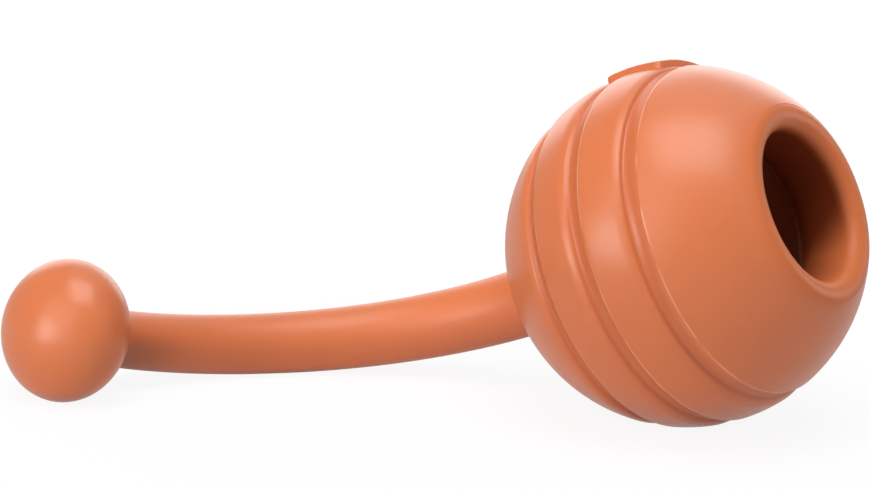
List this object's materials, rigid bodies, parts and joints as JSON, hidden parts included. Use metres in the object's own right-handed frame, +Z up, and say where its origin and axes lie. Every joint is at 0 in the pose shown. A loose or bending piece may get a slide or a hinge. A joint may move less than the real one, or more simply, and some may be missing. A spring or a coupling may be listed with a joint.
{
  "type": "tug ball with strap",
  "caption": "Hollow grooved rubber ball with a wide round mouth, and a curved tapered rubber strap that ends in a flattened grip knob, for tugging and throwing.",
  "frame": {"origin": "on the floor under the middle of the toy's bounding box, as the toy lies at rest", "axes": "+Z up, +X the way the mouth faces when seen from above, +Y to the left of that"},
  "size_m": [0.142, 0.1198, 0.07],
  "materials": {
    "ball_rubber": "satin moulded natural rubber, terracotta",
    "anchor_rubber": "satin moulded natural rubber, terracotta",
    "strap_rubber": "satin moulded natural rubber, terracotta",
    "knob_rubber": "satin moulded natural rubber, terracotta"
  },
  "bodies": {
    "ball": {"ball_shell": "ball_rubber"},
    "anchor": {"strap_anchor": "anchor_rubber"},
    "strap": {"strap": "strap_rubber"},
    "knob": {"grip_knob": "knob_rubber"}
  },
  "joints": [
    {"name": "strap_twist", "type": "hinge", "parent": "ball", "child": "anchor", "pos_m": [0.03629, 0.02489, 0.0347], "axis": [0.9059, 0, 0.4235], "range_deg": [-90, 90], "stiffness_Nm_per_rad": 0.05},
    {"name": "strap_bend", "type": "hinge", "parent": "anchor", "child": "strap", "pos_m": [-0.00559, 0.02415, 0.01534], "axis": [-0.4083, 0.2654, 0.8734], "range_deg": [-45, 45], "stiffness_Nm_per_rad": 0.12, "deforming": ["strap"]},
    {"name": "strap_stretch", "type": "slide", "parent": "strap", "child": "knob", "axis": [-0.0648, -0.9628, 0.2622], "range_m": [0, 0.02], "stiffness_N_per_m": 2000, "deforming": ["strap"]}
  ]
}
